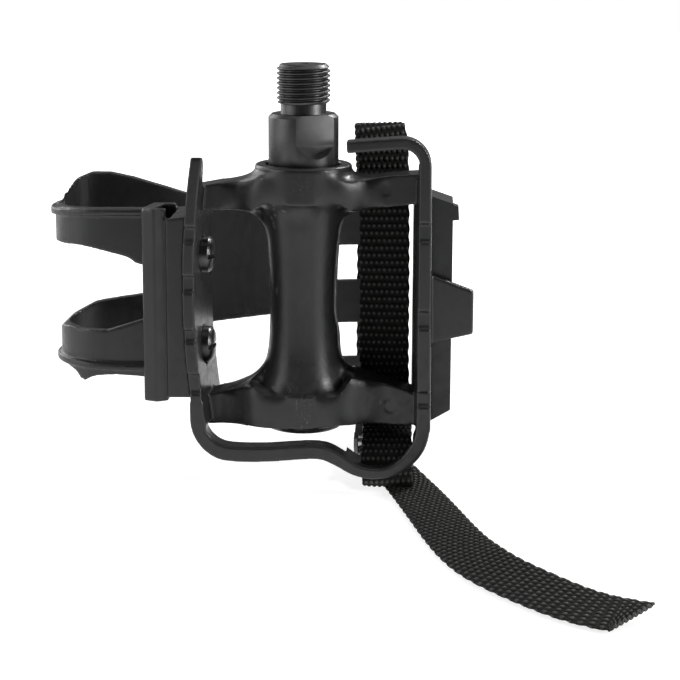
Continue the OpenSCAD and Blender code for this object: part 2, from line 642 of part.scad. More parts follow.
// Outline of the clip round the toe and back over the shoe, from the underside
far_window = [
  [nose_x, -38.8], [-66.5, -38.4], [-63, -37.2], [-50, -39.6], [-38, -42.8], [-33, -46], [-31.6, -50], [-33, -54],
  [-38, -56.4], [-48, -57.8], [-60.4, -58.8], [-65.6, -61], [-67.4, -62.6], [nose_x, -63.6]
];
far_low = [
  [nose_x, -71.2], [-66.6, -71.4], [-62, -73.4], [-56, -74.4], [-50, -74.4], [-42, -72.2], [-34, clip_low_z - 3],
  [-28, clip_low_z - 1.3], [-12, clip_low_z], [-5, clip_low_z - 0.9], [-1, clip_low_z - 4.2], [0.8, end_low_z + 9],
  [2.6, end_low_z + 3], [6.4, end_low_z], [end_x - 2, end_low_z], [end_x, end_low_z + 2]
];
far_top = [
  [end_x, clip_top_z - 2], [end_x - 2, clip_top_z], [-8, clip_top_z], [-18, clip_top_z + 2], [-35.7, -29.2],
  [-41, -27.3], [-46, -25.6], [-50, -24.2], [-56.3, -22.5], [-61, -22.2], [-64.5, -23.5], [-65.6, -25.4],
  [-66.3, -27.6], [-68.4, -29.2], [nose_x, -29.6]
];

// Where the two bands have joined
join_z = -50;

module band_plans(d0, d1, last) {
  plan_view(ribbon([for (i = [0:last]) upper_path[i]], d0, d1), join_z, barrel_top_z);
  plan_view(ribbon([for (i = [0:last]) lower_path[i]], d0, d1), end_low_z - 5, join_z);
}

module band_form() {
  difference() {
    intersection() {
      band_plans(-clip_t / 2, clip_t / 2, len(upper_path) - 1);
      union() {
        front_view(concat(upper_near, upper_near_top), -half_depth, near_end_y);
        front_view(lower_near, -half_depth, near_end_y);
        front_view(concat(far_window, far_low, far_top), near_end_y, 70);
      }
    }
    for (z0 = [slot_mid_z + tongue_w / 2, slot_mid_z - tongue_w / 2 - slot_w])
      translate([end_x - 2.4 - slot_l, near_end_y, z0]) cube([slot_l, 60, slot_w]);
  }
}

// Flanges on the outside of the bands
upper_rib = [
  [base_out_x - 0.1, -27.7], [-52, -27.8], [-60, -28.2], [-66, -28.9], [nose_x, -29.3], [nose_x, -31.2], [-66, -30.8],
  [-60, -30], [-52, -29.5], [base_out_x - 0.1, -29.4]
];
lower_rib = [[base_out_x - 0.1, -71.4], [nose_x, -71.2], [nose_x, -69.3], [base_out_x - 0.1, -69.7]];

module band_ribs() {
  intersection() {
    band_plans(0, clip_t / 2 + rib_h, 40);
    for (rib = [upper_rib, lower_rib]) front_view(rib, -half_depth, 35);
  }
}

strap_far_x = 18.8;
end_y = upper_path[len(upper_path) - 1][1];

module strap_bridge() {
  z0 = slot_mid_z - tongue_w / 2 + 1.5;
  z1 = slot_mid_z + tongue_w / 2 - 1.5;
  reach = strap_w / 2 + 0.4;
  low = [for (x = [strap_far_x - reach - 1.4, strap_far_x - reach, strap_far_x + reach, strap_far_x + reach + 1.4])
    [x, end_y + clip_t / 2 - 0.9]];
  lift = [0, bridge_gap + 0.9];
  top = [0, bridge_gap + 0.9 + bridge_t];
  plan_view([low[0], low[1], low[1] + lift, low[2] + lift, low[2], low[3], low[3] + top, low[0] + top], z0, z1);
}

module toe_clip() {
  color("#303132") {
    clip_base();
    band_form();
    band_ribs();
    strap_bridge();
  }
}

// Clip screws, from the inside of the front plate into nuts in the channel
pad_x = seat_x;

module clip_screw(z) {
  head_x = pad_x + pad_t;
  color("#8b8d8f") difference() {
    union() {
      x_cylinder(screw_d, base_gap_x1 - nut_t - 1, head_x, 0, z);
      translate([head_x, 0, z]) rotate([0, 90, 0]) rotate_extrude() polygon(concat(
        [[0, 0], [head_d / 2, 0], [head_d / 2, head_h * 0.5]],
        [for (a = [15:15:90]) [head_d / 2 - head_h * 0.5 * (1 - cos(a)) - (a / 90) * 1.2, head_h * 0.5 * (1 + sin(a))]],
        [[0, head_h]]
      ));
    }
    translate([head_x + head_h - 1.4, -head_d, z - 0.6]) cube([4, 2 * head_d, 1.2]);
  }
}

module clip_washer(z) {
  color("#8b8d8f") difference() {
    x_cylinder(pad_d, pad_x, pad_x + pad_t, 0, z);
    x_cylinder(screw_d + 0.1, pad_x - 1, pad_x + pad_t + 1, 0, z);
  }
}

module clip_nut(z) {
  color("#8b8d8f") difference() {
    translate([base_gap_x1 - nut_t, 0, z]) rotate([0, 90, 0]) cylinder(d = nut_af / cos(30), h = nut_t, $fn = 6);
    x_cylinder(screw_d, base_gap_x0 - 1, base_gap_x1 + 1, 0, z);
  }
}

module clip_screw_upper() { clip_screw(screw_zs[0]); }
module clip_screw_lower() { clip_screw(screw_zs[1]); }
module clip_washer_upper() { clip_washer(screw_zs[0]); }
module clip_washer_lower() { clip_washer(screw_zs[1]); }
module clip_nut_upper() { clip_nut(screw_zs[0]); }
module clip_nut_lower() { clip_nut(screw_zs[1]); }

// Rear reflector
housing_y0 = -half_depth + 3 + tab_t + 0.4;
housing_y1 = housing_y0 + housing_depth;
housing_x1 = rear_x + housing_t;
reflector_zs = [housing_top_z - 12, housing_low_z + 12];

housing_outline = [
  [rear_face(housing_low_z) + seat_gap, housing_low_z], [housing_x1, housing_low_z + housing_taper],
  [housing_x1, housing_top_z - housing_top_taper], [rear_face(housing_top_z) + seat_gap, housing_top_z]
];
pocket_z0 = housing_low_z + housing_taper + housing_wall;
pocket_z1 = housing_top_z - housing_top_taper - housing_wall;

module reflector_housing() {
  lens_x = housing_x1 - lens_t;
  color("#353636") difference() {
    union() {
      front_view(housing_outline, housing_y0, housing_y1);
      front_view([[housing_x1 - 2, housing_top_z - 1.5], [housing_x1 + 1.4, housing_top_z - 2.7],
        [housing_x1 + 1.6, housing_top_z - 6.1], [housing_x1 - 2, housing_top_z - 6.5]], housing_y0, housing_y0 + 4);
    }
    translate([lens_x, housing_y0 + housing_wall, pocket_z0])
      cube([10, housing_y1 - housing_y0 - 2 * housing_wall, pocket_z1 - pocket_z0]);
    for (z = reflector_zs) x_cylinder(2.4, rear_x - 1, lens_x + 1, (housing_y0 + housing_y1) / 2, z);
  }
}

module reflector_lens() {
  fit = 0.05;
  inset = housing_wall + fit;
  color("#e0872a") translate([housing_x1 - lens_t, housing_y0 + inset, pocket_z0 + fit])
    cube([lens_t, housing_y1 - housing_y0 - 2 * inset, pocket_z1 - pocket_z0 - 2 * fit]);
}

module reflector_screws() {
  color("#8b8d8f") for (z = reflector_zs)
    x_cylinder(2.4, rear_x + rear_lean, housing_x1 - lens_t, (housing_y0 + housing_y1) / 2, z);
}

buckle_x = 21;

// Strap, as a flat band that follows a route; its width lies along side
module band(route, side, w, t) {
  n = len(route);
  corners = [for (i = [0:n - 1])
    let (a = along(route, i), s = unit(side[i] - a * (side[i] * a)), up = cross(a, s))
    for (c = [[-1, -1], [1, -1], [1, 1], [-1, 1]]) route[i] + s * c[0] * w / 2 + up * c[1] * t / 2];
  walls = [for (i = [0:n - 2]) for (j = [0:3])
    let (p = 4 * i + j, q = 4 * i + (j + 1) % 4) for (f = [[p, q, q + 4], [p, q + 4, p + 4]]) f];
  polyhedron(corners, concat(walls, [[3, 2, 1, 0], [4 * n - 4, 4 * n - 3, 4 * n - 2, 4 * n - 1]]));
}

// Side views of the strap's way, with the x of its middle: round the lobe, up behind the
// cage, over the hook's end, down behind the toe clip's bridge and back to the buckle
strap_route = let (z = barrel_end_z, top = hook_top_z, y = end_y + 2.2) smooth([
  [buckle_x + 0.1, 9.5, z - 8.4], [21.8, 5, z - 10.1], [22.4, 0, z - 12.1], [22.8, -4, z - 13.6], [22.9, -6.9, z - 13.2],
  [22.7, -7.5, z - 10.2], [22.6, -6.6, z - 6.6], [22.5, -1, z - 2.7], [22.3, 6.4, z - 0.7], [22, 9, z + 3.7],
  [21.4, 9, z + 14.7], [21.3, 9, z + 36.7], [21.1, 9, top - 22.4], [20.7, 9, top - 7], [20.1, 9.5, top - 1.6],
  [19.6, 11.6, top + 0.5], [19.4, 15, top - 0.4], [19.1, 30, top - 10], [18.9, 46, top - 21.2],
  [strap_far_x, y - 0.6, clip_top_z + 2.4], [strap_far_x, y, clip_top_z - 2.5], [strap_far_x, y, slot_mid_z + 2.6],
  [strap_far_x, y, z + 6.7], [strap_far_x, y, z - 1.2], [19, y - 2.8, z - 4.3], [19.6, 40, z - 5.1],
  [buckle_x - 0.2, 31, z - 6.4], [buckle_x, 20, z - 8.4], [buckle_x, 14.3, z - 10.2]
], 2);

module strap() {
  color("#1b1b1b") band(strap_route, [for (p = strap_route) [1, 0, 0]], strap_w, strap_t);
}

tail_route = smooth([
  [buckle_x, 14.3, lay_z + 6], [buckle_x + 0.4, 12, lay_z + 4.4], [24, 8.4, lay_z + 1.8], [26.8, 2.4, lay_z + 0.8],
  [29.2, -5.4, lay_z + 0.8], [32.5, -18.5, lay_z + 1.3], [35.8, -32, lay_z + 1.7], [38.8, -44.2, lay_z + 2],
  [41.9, -55.2, lay_z + 2.3], [45.3, -64.4, lay_z + 2.6], [48.9, -71.4, lay_z + 2.7], [52.8, -76.8, lay_z + 2.6],
  [56.8, -81.6, lay_z + 2.5], [61, -86.3, lay_z + 2.4], [65.8, -91, lay_z + 2.3], [72, -95.2, lay_z + 2.2],
  [79.5, -98, lay_z + 2]
], 2);

module strap_tail() {
  sides = [for (i = [0:len(tail_route) - 1])
    let (a = along(tail_route, i)) [-a[1], a[0], lookup(i, [[7, 0], [18, 0.3], [24, 0.27], [32, 0.2]])]];
  color("#1b1b1b") band(tail_route, sides, strap_w, strap_t);
}

// Cam buckle on the outboard run of the strap. Its Y runs along the strap and its
// -Z side faces outboard.
buckle_at = [buckle_x, 22, barrel_end_z - 7.9];
buckle_tilt = 10;
buckle_half = strap_w / 2 + 0.5;
pin_y = -3;
pin_z = -4.6;
cam_r = 3.4;
roller_d = 3;
bar_y = -10;
bar_z = 1.9;

module at_buckle() {
  translate(buckle_at) rotate([buckle_tilt, 0, 0]) children();
}

module buckle_frame() {
  outer = buckle_half + buckle_sheet;
  color("#3c3e40") at_buckle() {
    difference() {
      union() {
        translate([-outer, -7, 1.1]) cube([2 * outer, 16, buckle_sheet]);
        for (x = [-outer, buckle_half])
          side_view([[-12, 1.1], [-12, bar_z + 1.6], [-8, bar_z + 1.6], [-7, 1.1 + buckle_sheet], [9, 1.1 + buckle_sheet],
            [9, -1.6], [pin_y + 3.4, pin_z - 1.6], [pin_y + 1.6, pin_z - 2.8], [pin_y - 1.6, pin_z - 2.8],
            [pin_y - 3.2, pin_z - 1.6], [-10.5, -1.2]], x, x + buckle_sheet);
      }
      x_cylinder(buckle_pin_d, -20, 20, pin_y, pin_z);
    }
    x_cylinder(buckle_pin_d - 0.4, -buckle_half - eps, buckle_half + eps, bar_y, bar_z);
  }
}

module buckle_roller() {
  color("#5b5d5f") at_buckle() difference() {
    x_cylinder(roller_d, -buckle_half + 0.2, buckle_half - 0.2, bar_y, bar_z);
    x_cylinder(buckle_pin_d - 0.3, -20, 20, bar_y, bar_z);
  }
}

module buckle_lever_pin() {
  color("#5b5d5f") at_buckle()
    x_cylinder(buckle_pin_d, -buckle_half - buckle_sheet, buckle_half + buckle_sheet, pin_y, pin_z);
}

module buckle_lever() {
  w = strap_w + 0.4;
  color("#3c3e40") at_buckle() difference() {
    side_view(concat(arc(pin_y, pin_z, cam_r, 90, 250, 10),
      [[pin_y + 2.4, pin_z - 2.2], [pin_y + lever_l - 3, pin_z - 1.8], [pin_y + lever_l, pin_z - 2.8],
        [pin_y + lever_l, pin_z - 1.4], [pin_y + lever_l - 3, pin_z - 0.4], [pin_y + 4, pin_z]],
      arc(pin_y, pin_z, cam_r, 20, 70, 4)), -w / 2, w / 2);
    x_cylinder(buckle_pin_d + 0.1, -20, 20, pin_y, pin_z);
  }
}

spindle();
bearing_cone();
tab_washer();
lock_nut();
body();
inboard_cup();
outboard_cup();
inboard_balls();
outboard_balls();
inboard_seal();
dust_cap();
toe_clip();
clip_screw_upper();
clip_screw_lower();
clip_washer_upper();
clip_washer_lower();
clip_nut_upper();
clip_nut_lower();
reflector_housing();
reflector_lens();
reflector_screws();
strap();
strap_tail();
buckle_frame();
buckle_roller();
buckle_lever();
buckle_lever_pin();
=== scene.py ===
import math

import bmesh
import bpy
import numpy as np
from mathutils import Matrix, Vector


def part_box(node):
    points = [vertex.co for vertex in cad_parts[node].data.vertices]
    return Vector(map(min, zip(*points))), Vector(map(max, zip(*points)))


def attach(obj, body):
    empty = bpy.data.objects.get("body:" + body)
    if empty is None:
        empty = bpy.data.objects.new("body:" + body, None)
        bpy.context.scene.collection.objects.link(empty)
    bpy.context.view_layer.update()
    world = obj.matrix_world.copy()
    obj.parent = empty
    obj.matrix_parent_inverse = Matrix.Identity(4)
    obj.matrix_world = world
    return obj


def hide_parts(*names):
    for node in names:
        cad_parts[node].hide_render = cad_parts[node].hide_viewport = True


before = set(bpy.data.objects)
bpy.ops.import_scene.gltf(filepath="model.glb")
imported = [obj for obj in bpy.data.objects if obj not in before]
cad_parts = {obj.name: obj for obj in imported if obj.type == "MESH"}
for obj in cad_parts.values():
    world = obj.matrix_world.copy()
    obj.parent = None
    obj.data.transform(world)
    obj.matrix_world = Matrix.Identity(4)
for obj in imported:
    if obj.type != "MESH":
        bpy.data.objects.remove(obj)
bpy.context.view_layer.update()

MM = 0.001
bpy.context.scene.view_settings.view_transform = "Standard"

# Camera, as the photograph's
PHOTO_PX = 680
SENSOR_MM = 36.0
FOCAL_PX = 1810.0
CAMERA_AZIMUTH = math.radians(4.0)
CAMERA_ELEVATION = math.radians(11.0)
CAMERA_DISTANCE = 0.480
AIM = Vector((0.0, 0.0, -0.0459))
AIM_PX = (303.5, 275.6)

# Surface that the pedal's strap lies on
FLOOR_Z = -0.10308
FLOOR_SIZE = 4.0


def add(obj):
    bpy.context.scene.collection.objects.link(obj)
    return obj


def make_camera():
    data = bpy.data.cameras.new("camera")
    data.sensor_width = SENSOR_MM
    data.lens = FOCAL_PX / PHOTO_PX * SENSOR_MM
    data.shift_x = 0.5 - AIM_PX[0] / PHOTO_PX
    data.shift_y = AIM_PX[1] / PHOTO_PX - 0.5
    camera = add(bpy.data.objects.new("camera", data))
    level = math.cos(CAMERA_ELEVATION)
    ahead = Vector((-math.sin(CAMERA_AZIMUTH) * level, math.cos(CAMERA_AZIMUTH) * level,
                    -math.sin(CAMERA_ELEVATION)))
    camera.location = AIM - CAMERA_DISTANCE * ahead
    camera.rotation_euler = ahead.to_track_quat("-Z", "Y").to_euler()
    bpy.context.scene.camera = camera


# Node helpers
def link(tree, source, target):
    tree.links.new(source, target)


def node(tree, kind, **settings):
    made = tree.nodes.new(kind)
    for name, value in settings.items():
        setattr(made, name, value)
    return made


def math_node(tree, operation, a, b):
    made = node(tree, "ShaderNodeMath", operation=operation)
    for socket, value in zip(made.inputs, (a, b)):
        if isinstance(value, (int, float)):
            socket.default_value = value
        else:
            link(tree, value, socket)
    return made.outputs[0]


def ray_kinds(tree):
    """Two factors: 1 for what the camera sees, also through glass, and 1 for what a reflection sees."""
    path = node(tree, "ShaderNodeLightPath")
    clear = math_node(tree, "MAXIMUM", path.outputs["Is Camera Ray"], path.outputs["Is Transmission Ray"])
    return clear, path.outputs["Is Glossy Ray"]


def span(tree, value, low, high, to_low, to_high):
    made = node(tree, "ShaderNodeMapRange")
    for name, number in zip(("From Min", "From Max", "To Min", "To Max"), (low, high, to_low, to_high)):
        made.inputs[name].default_value = number
    link(tree, value, made.inputs["Value"])
    return made.outputs[0]


# Light from the world, behind the camera and behind the pedal
WORLD_FRONT = 0.06
WORLD_BACK = 0.2


def make_world():
    world = bpy.data.worlds.new("studio")
    bpy.context.scene.world = world
    world.use_nodes = True
    tree = world.node_tree
    tree.nodes.clear()
    parts = node(tree, "ShaderNodeSeparateXYZ")
    link(tree, node(tree, "ShaderNodeTexCoord").outputs["Generated"], parts.inputs[0])
    white = node(tree, "ShaderNodeMix", data_type="FLOAT")
    link(tree, ray_kinds(tree)[0], white.inputs["Factor"])
    link(tree, span(tree, parts.outputs["Y"], -0.4, 0.9, WORLD_FRONT, WORLD_BACK), white.inputs["A"])
    white.inputs["B"].default_value = 1.0
    background = node(tree, "ShaderNodeBackground")
    background.inputs["Color"].default_value = (1, 1, 1, 1)
    link(tree, white.outputs[0], background.inputs["Strength"])
    link(tree, background.outputs[0], node(tree, "ShaderNodeOutputWorld").inputs["Surface"])


# Share of the floor's white that is its own glow under the pedal, how strong the glow is, and the
# distances between which the share grows to the whole
FLOOR_GLOW = 0.45
GLOW_STRENGTH = 1.78
FLOOR_NEAR = 0.16
FLOOR_FAR = 0.45
FLOOR_WHITE = 0.9
# Where the mirrored glow of the white sheet fades, and what is left of it beyond
SHEET = (0.14, 0.3)
SHEET_REST = 0.05


def floor_material():
    mat = bpy.data.materials.new("floor_white")
    mat.use_nodes = True
    tree = mat.node_tree
    tree.nodes.clear()
    diffuse = node(tree, "ShaderNodeBsdfDiffuse")
    diffuse.inputs["Color"].default_value = (FLOOR_WHITE, FLOOR_WHITE, FLOOR_WHITE, 1)
    glow = node(tree, "ShaderNodeEmission")
    glow.inputs["Color"].default_value = (1, 1, 1, 1)
    glow.inputs["Strength"].default_value = GLOW_STRENGTH
    distance = node(tree, "ShaderNodeVectorMath", operation="LENGTH")
    link(tree, node(tree, "ShaderNodeTexCoord").outputs["Object"], distance.inputs[0])
    reach = distance.outputs["Value"]
    clear, glossy = ray_kinds(tree)
    plain = math_node(tree, "MULTIPLY", clear, span(tree, reach, FLOOR_NEAR, FLOOR_FAR, FLOOR_GLOW, 1.0))
    mirrored = math_node(tree, "MULTIPLY", glossy, span(tree, reach, *SHEET, FLOOR_GLOW, SHEET_REST))
    mix = node(tree, "ShaderNodeMixShader")
    link(tree, math_node(tree, "MAXIMUM", plain, mirrored), mix.inputs["Fac"])
    link(tree, diffuse.outputs[0], mix.inputs[1])
    link(tree, glow.outputs[0], mix.inputs[2])
    link(tree, mix.outputs[0], node(tree, "ShaderNodeOutputMaterial").inputs["Surface"])
    return mat


def make_floor():
    half = FLOOR_SIZE / 2
    mesh = bpy.data.meshes.new("floor")
    corners = [(-half, -half, FLOOR_Z), (half, -half, FLOOR_Z), (half, half, FLOOR_Z), (-half, half, FLOOR_Z)]
    mesh.from_pydata(corners, [], [(0, 1, 2, 3)])
    floor = add(bpy.data.objects.new("floor", mesh))
    mesh.materials.append(floor_material())


def make_lamp(name, place, size, power, size_y=None):
    data = bpy.data.lights.new(name, "AREA")
    data.shape = "RECTANGLE"
    data.size = size
    data.size_y = size_y or size
    data.energy = power
    lamp = add(bpy.data.objects.new(name, data))
    lamp.location = place
    lamp.rotation_euler = (AIM - Vector(place)).to_track_quat("-Z", "Y").to_euler()


def make_lamps():
    make_lamp("left_box", (-0.88, -0.27, 0.25), 0.7, 4.0, 0.9)
    make_lamp("right_box", (0.83, -0.28, 0.2), 0.26, 5.2, 0.36)
    make_lamp("back_left_box", (-0.7, 0.6, 0.3), 0.7, 4.5)
    make_lamp("back_right_box", (0.5, 0.6, 0.6), 0.2, 5.0)
    make_lamp("top_box", (0.1, 0.1, 0.9), 0.9, 2.5)


# Materials
def new_material(name, colour, roughness, metallic=0.0):
    mat = bpy.data.materials.new(name)
    mat.use_nodes = True
    tree = mat.node_tree
    tree.nodes.clear()
    shader = node(tree, "ShaderNodeBsdfPrincipled")
    shader.inputs["Base Color"].default_value = (*colour, 1)
    shader.inputs["Roughness"].default_value = roughness
    shader.inputs["Metallic"].default_value = metallic
    link(tree, shader.outputs[0], node(tree, "ShaderNodeOutputMaterial").inputs["Surface"])
    return mat, tree, shader


def noise(tree, scale, detail=3.0, stretch=None):
    """Noise in the object's own space; scale is in bumps for each metre."""
    place = node(tree, "ShaderNodeTexCoord").outputs["Object"]
    if stretch:
        mapping = node(tree, "ShaderNodeMapping")
        mapping.inputs["Scale"].default_value = stretch
        link(tree, place, mapping.inputs["Vector"])
        place = mapping.outputs[0]
    made = node(tree, "ShaderNodeTexNoise")
    made.inputs["Scale"].default_value = scale
    made.inputs["Detail"].default_value = detail
    link(tree, place, made.inputs["Vector"])
    return made.outputs["Fac"]


def bump(tree, shader, height, depth, strength=1.0):
    made = node(tree, "ShaderNodeBump")
    made.inputs["Distance"].default_value = depth
    made.inputs["Strength"].default_value = strength
    link(tree, height, made.inputs["Height"])
    link(tree, made.outputs[0], shader.inputs["Normal"])


def scaled(colour, share):
    return tuple(c * share for c in colour)


def tinted(tree, colour, factor, tint):
    """The colour, turned towards a tint where factor is above 0."""
    mix = node(tree, "ShaderNodeMix", data_type="RGBA")
    link(tree, factor, mix.inputs["Factor"])
    link(tree, colour, mix.inputs[6])
    mix.inputs[7].default_value = (*tint, 1)
    return mix.outputs[2]


def clouded(tree, colour, scale, low, high):
    """The colour with soft clouds, from low to high times as light."""
    mix = node(tree, "ShaderNodeMix", data_type="RGBA")
    link(tree, span(tree, noise(tree, scale, 5), 0.3, 0.7, 0, 1), mix.inputs["Factor"])
    mix.inputs[6].default_value = (*scaled(colour, low), 1)
    mix.inputs[7].default_value = (*scaled(colour, high), 1)
    return mix.outputs[2]


def near(tree, centre, radius, blur):
    """1 within a radius of a place, falling to 0 over the blur, all in millimetres."""
    gap = node(tree, "ShaderNodeVectorMath", operation="DISTANCE")
    link(tree, node(tree, "ShaderNodeTexCoord").outputs["Object"], gap.inputs[0])
    gap.inputs[1].default_value = [c * MM for c in centre]
    return span(tree, gap.outputs["Value"], radius * MM, (radius + blur) * MM, 1, 0)


# Pale colour of scuffed plastic, also put on sharp edges as a painted highlight, and the colour of an ejector
# mark, with how far the mark's colour shows
PALE_SCUFF_AND_EDGE_HIGHLIGHT = (0.11, 0.11, 0.105)
MARK = (0.008, 0.008, 0.008)
MARK_SHARE = 0.6
MARK_BLUR = 0.3
# Bumps for each metre of the plastic's clouds, its rubbed patches and its specks
CLOUDS = 90
PATCHES = 520
SPECKS = 1500
GRAIN_DEPTH = 0.04 * MM


def moulded_plastic(name, colour, roughness, grain=2600, edges=0.0, marks=(), scuffs=()):
    """Black moulded plastic: fine grain, soft clouds, and sharp edges painted a little paler as a highlight.

    marks are dark ejector discs, each a centre and a radius. scuffs are places with pale specks, each
    a centre, a radius and how far the specks show.
    """
    mat, tree, shader = new_material(name, colour, roughness)
    shade = clouded(tree, colour, CLOUDS, 0.86, 1.16)
    # Painted highlight: where pointiness is high, the edges are turned paler, standing in for light caught on
    # their rounds
    if edges:
        sharp = span(tree, node(tree, "ShaderNodeNewGeometry").outputs["Pointiness"], 0.52, 0.6, 0, edges)
        shade = tinted(tree, shade, sharp, PALE_SCUFF_AND_EDGE_HIGHLIGHT)
    for centre, radius in marks:
        disc = math_node(tree, "MULTIPLY", near(tree, centre, radius, MARK_BLUR), MARK_SHARE)
        shade = tinted(tree, shade, disc, MARK)
    specks = span(tree, noise(tree, SPECKS, 3), 0.56, 0.64, 0, 0.8)
    for centre, radius, share in scuffs:
        here = math_node(tree, "MULTIPLY", near(tree, centre, radius * 0.2, radius * 0.8), specks)
        here = math_node(tree, "MULTIPLY", here, share)
        shade = tinted(tree, shade, here, PALE_SCUFF_AND_EDGE_HIGHLIGHT)
    link(tree, shade, shader.inputs["Base Color"])
    rubbed = span(tree, noise(tree, PATCHES, 8), 0.45, 0.75, roughness - 0.05, roughness + 0.1)
    link(tree, rubbed, shader.inputs["Roughness"])
    bump(tree, shader, noise(tree, grain, 2), GRAIN_DEPTH, 0.5)
    return mat


# Bumps for each metre of the steel's clouds and its turning lines, and the lines' stretch and depth
STEEL_CLOUDS = 260
TURNING_LINES = 900
LINE_STRETCH = (0.15, 0.15, 4.0)
LINE_DEPTH = 0.02 * MM


def machined_steel(name, colour, roughness):
    mat, tree, shader = new_material(name, colour, roughness, 1.0)
    link(tree, clouded(tree, colour, STEEL_CLOUDS, 0.88, 1.12), shader.inputs["Base Color"])
    lines = noise(tree, TURNING_LINES, 4, LINE_STRETCH)
    link(tree, span(tree, lines, 0.3, 0.7, roughness - 0.04, roughness + 0.06), shader.inputs["Roughness"])
    bump(tree, shader, lines, LINE_DEPTH, 0.3)
    return mat


# Near-black painted shade between the webbing's yarns, and how high on a bead that shade ends and the yarn's
# colour is full
PAINTED_GAP_SHADE = (0.001, 0.001, 0.0009)
BEAD_FOOT, BEAD_TOP = 0.5, 0.97
# Fibres for each metre, along the strap and across it
FIBRES = (900, 9000, 1)
FIBRE_DEPTH = 0.08 * MM
WEB_CLOUDS = 700


def webbing(name, colour):
    """Black webbing: painted shade, near black, between the yarns, and the yarn's colour with a dull shine on
    top of them.
    """
    mat, tree, shader = new_material(name, colour, 0.5)
    uv = node(tree, "ShaderNodeUVMap", uv_map="weave").outputs[0]
    stretch = node(tree, "ShaderNodeMapping")
    stretch.inputs["Scale"].default_value = FIBRES
    link(tree, uv, stretch.inputs["Vector"])
    fibres = node(tree, "ShaderNodeTexNoise")
    fibres.inputs["Scale"].default_value = 1.0
    link(tree, stretch.outputs[0], fibres.inputs["Vector"])
    bead = node(tree, "ShaderNodeAttribute", attribute_name="bead").outputs["Fac"]
    # Painted shade: low on the beads, between the yarns, the colour is turned to near black
    gap = span(tree, bead, BEAD_FOOT, BEAD_TOP, 1, 0)
    yarn = clouded(tree, colour, WEB_CLOUDS, 0.7, 1.6)
    link(tree, tinted(tree, yarn, gap, PAINTED_GAP_SHADE), shader.inputs["Base Color"])
    link(tree, span(tree, bead, BEAD_FOOT, BEAD_TOP, 0.9, 0.3), shader.inputs["Roughness"])
    bump(tree, shader, fibres.outputs["Fac"], FIBRE_DEPTH, 0.6)
    return mat


# Meshes
def mesh_object(name, verts, faces, mat, smooth=True):
    mesh = bpy.data.meshes.new(name)
    mesh.from_pydata([tuple(v) for v in verts], [], faces)
    mesh.validate()
    mesh.polygons.foreach_set("use_smooth", [smooth] * len(mesh.polygons))
    mesh.materials.append(mat)
    return add(bpy.data.objects.new(name, mesh))


def bake_modifiers(obj):
    graph = bpy.context.evaluated_depsgraph_get()
    mesh = bpy.data.meshes.new_from_object(obj.evaluated_get(graph))
    obj.modifiers.clear()
    obj.data = mesh


def vertices(mesh, what="co"):
    values = np.empty(len(mesh.vertices) * 3)
    mesh.vertices.foreach_get(what, values)
    return values.reshape(-1, 3)


# How far a point moves in one round, how often the normals are found again, and how much outer edges
# are rounded where inner corners are filled
FILL_STEP = 0.7
NORMAL_ROUNDS = 4
EDGE_SHARE = 0.35


def fill_corners(mesh, share, rounds):
    """Fills the inner corners, as a mould's fillets do, as far as share allows, and eases outer edges."""
    ends = np.empty(len(mesh.edges) * 2, int)
    mesh.edges.foreach_get("vertices", ends)
    a, b = ends.reshape(-1, 2).T
    count = len(mesh.vertices)
    around = np.bincount(ends, minlength=count)[:, None]
    place = vertices(mesh)
    allowed = share(place / MM)[:, None]
    for turn in range(rounds):
        if turn % NORMAL_ROUNDS == 0:
            mesh.vertices.foreach_set("co", place.ravel())
            mesh.update()
            out = vertices(mesh, "normal")
        total = np.stack([np.bincount(a, place[b, k], count) + np.bincount(b, place[a, k], count)
                          for k in range(3)], axis=1)
        rise = np.sum((total / around - place) * out, axis=1)[:, None]
        place = place + FILL_STEP * np.where(rise > 0, rise, EDGE_SHARE * rise) * allowed * out
    mesh.vertices.foreach_set("co", place.ravel())
    mesh.update()


def moulded(source, name, mat, voxel, rounds, triangles, fillets=None, fillet_rounds=0):
    """A copy of a CAD node with its edges and inner corners rounded, as a mould leaves them."""
    shell = add(bpy.data.objects.new(name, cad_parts[source].data.copy()))
    weld = shell.modifiers.new("weld", "WELD")
    weld.merge_threshold = 0.00001
    grid = shell.modifiers.new("grid", "REMESH")
    grid.mode = "VOXEL"
    grid.voxel_size = voxel
    soften = shell.modifiers.new("soften", "SMOOTH")
    soften.factor = 0.5
    soften.iterations = rounds
    bake_modifiers(shell)
    if fillets:
        fill_corners(shell.data, fillets, fillet_rounds)
    count = sum(len(p.vertices) - 2 for p in shell.data.polygons)
    if count > triangles:
        thin = shell.modifiers.new("thin", "DECIMATE")
        thin.ratio = triangles / count
        bake_modifiers(shell)
    shell.data.materials.clear()
    shell.data.materials.append(mat)
    shell.data.polygons.foreach_set("use_smooth", [True] * len(shell.data.polygons))
    return shell


def smooth_curve(points, n):
    """The same smooth curve through points as the part's source has, n pieces to a span."""
    p = [np.array(q, float) * MM for q in points]
    last = len(p) - 1
    made = []
    for i in range(last):
        a, b, c, d = p[max(i - 1, 0)], p[i], p[i + 1], p[min(i + 2, last)]
        for j in range(n):
            t = j / n
            made.append(0.5 * (2 * b + (c - a) * t + (2 * a - 5 * b + 4 * c - d) * t * t
                               + (3 * b - a - 3 * c + d) * t ** 3))
    made.append(p[-1])
    return np.array(made)


# Woven strap: its size, how far beads reach past its edge, and the size of a row, a yarn and a bead
STRAP_W = 12.7 * MM
STRAP_T = 1.6 * MM
BEAD_REACH = 0.4 * MM
ROW = 2.0 * MM
YARN = 1.4 * MM
BEAD = 0.6 * MM
# How narrow a bead is, along the strap and across it: higher is narrower
BEAD_ALONG = 1.5
BEAD_ASIDE = 0.6
